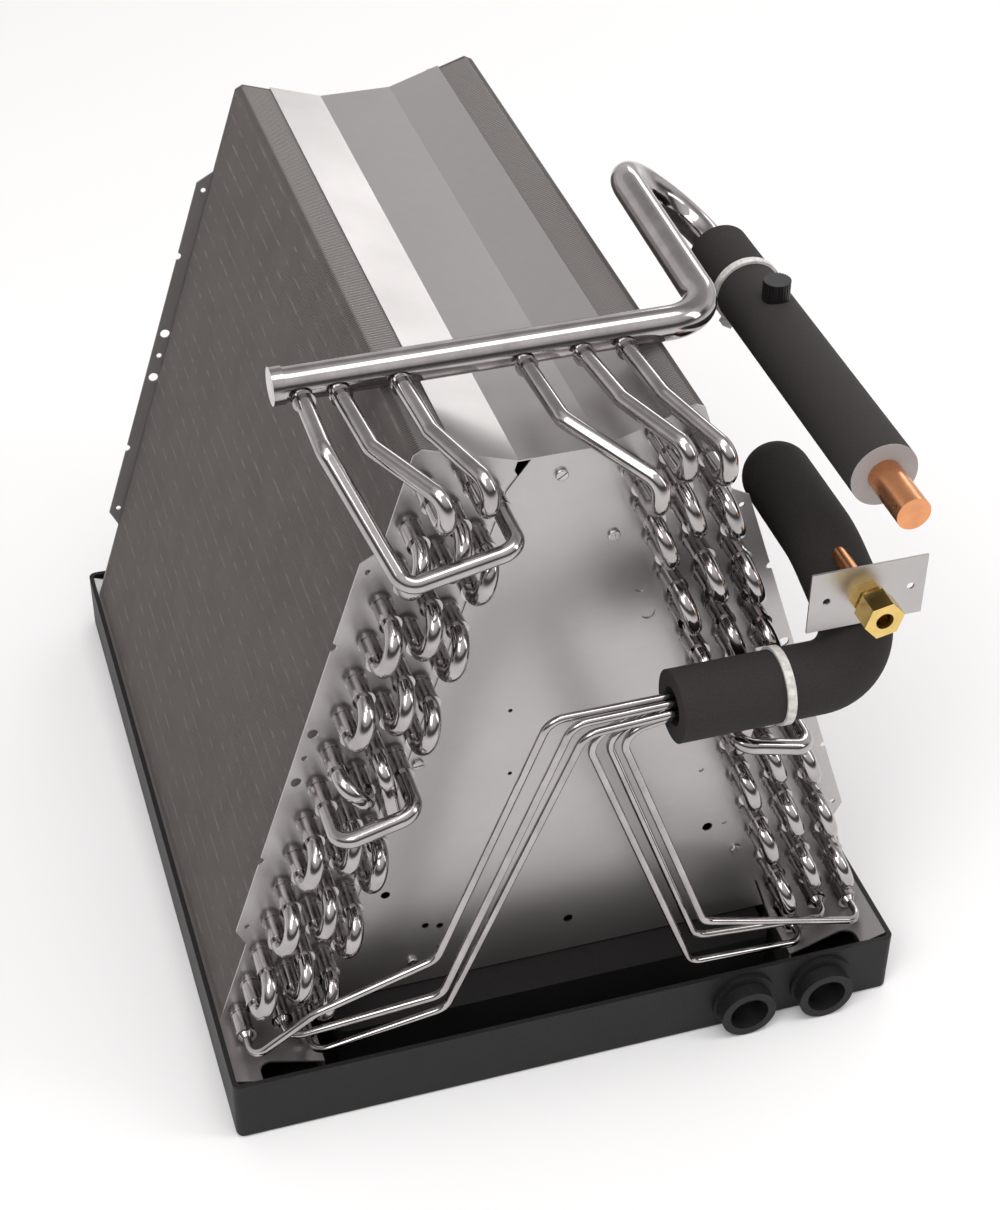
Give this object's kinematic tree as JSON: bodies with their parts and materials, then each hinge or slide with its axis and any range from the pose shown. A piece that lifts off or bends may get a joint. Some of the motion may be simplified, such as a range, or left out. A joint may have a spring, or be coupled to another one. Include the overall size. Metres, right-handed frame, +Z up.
{
  "type": "a-coil evaporator",
  "caption": "Uncased A-shaped evaporator coil: two leaning finned tube slabs in a moulded drain pan, with suction header, expansion valve and feeder tubes.",
  "frame": {"origin": "centre of the overall box at the drain pan's underside", "axes": "+X to the right seen from the connection side, +Y from the connection side to the back, +Z up"},
  "size_m": [0.4156, 0.535, 0.4567],
  "materials": {
    "fin": "dull",
    "sheet": "satin galvanised",
    "tube": "polished",
    "copper": "bare copper",
    "brass": "machined",
    "foam": "matt closed-cell foam",
    "tie": "matt",
    "cap": "matt",
    "pan": "matt moulded"
  },
  "bodies": {
    "root": {"access_plate": "sheet", "distributor": "brass", "drain_pan": "pan", "expansion_valve": "brass", "feeder_tube_1": "tube", "feeder_tube_2": "tube", "feeder_tube_3": "tube", "feeder_tube_4": "tube", "feeder_tube_5": "tube", "feeder_tube_6": "tube", "front_delta_plate": "sheet", "header_end_cap": "tube", "left_crossover_bends": "tube", "left_fin_pack": "fin", "left_front_tubesheet": "sheet", "left_inner_hairpins": "tube", "left_inner_return_bends": "tube", "left_jumper": "tube", "left_middle_hairpins": "tube", "left_middle_return_bends": "tube", "left_outer_hairpins": "tube", "left_outer_return_bends": "tube", "left_rear_tubesheet": "sheet", "left_support_rail": "sheet", "liquid_fitting": "brass", "liquid_flare_nut": "brass", "liquid_tube": "copper", "plate_screws": "sheet", "rear_delta_plate": "sheet", "right_crossover_bends": "tube", "right_fin_pack": "fin", "right_front_tubesheet": "sheet", "right_inner_hairpins": "tube", "right_inner_return_bends": "tube", "right_jumper": "tube", "right_middle_hairpins": "tube", "right_middle_return_bends": "tube", "right_outer_hairpins": "tube", "right_outer_return_bends": "tube", "right_rear_tubesheet": "sheet", "right_support_rail": "sheet", "service_port_cap": "cap", "service_port_stem": "copper", "suction_branch_1": "tube", "suction_branch_2": "tube", "suction_branch_3": "tube", "suction_branch_4": "tube", "suction_branch_5": "tube", "suction_branch_6": "tube", "suction_copper_tube": "copper", "suction_foam_front": "foam", "suction_foam_rear": "foam", "suction_foam_tie": "tie", "suction_header": "tube", "suction_return_bend": "tube", "top_cap": "sheet", "valve_foam_elbow": "foam", "valve_foam_sleeve": "foam", "valve_foam_tie": "tie", "valve_outlet_tube": "copper"}
  },
  "joints": []
}
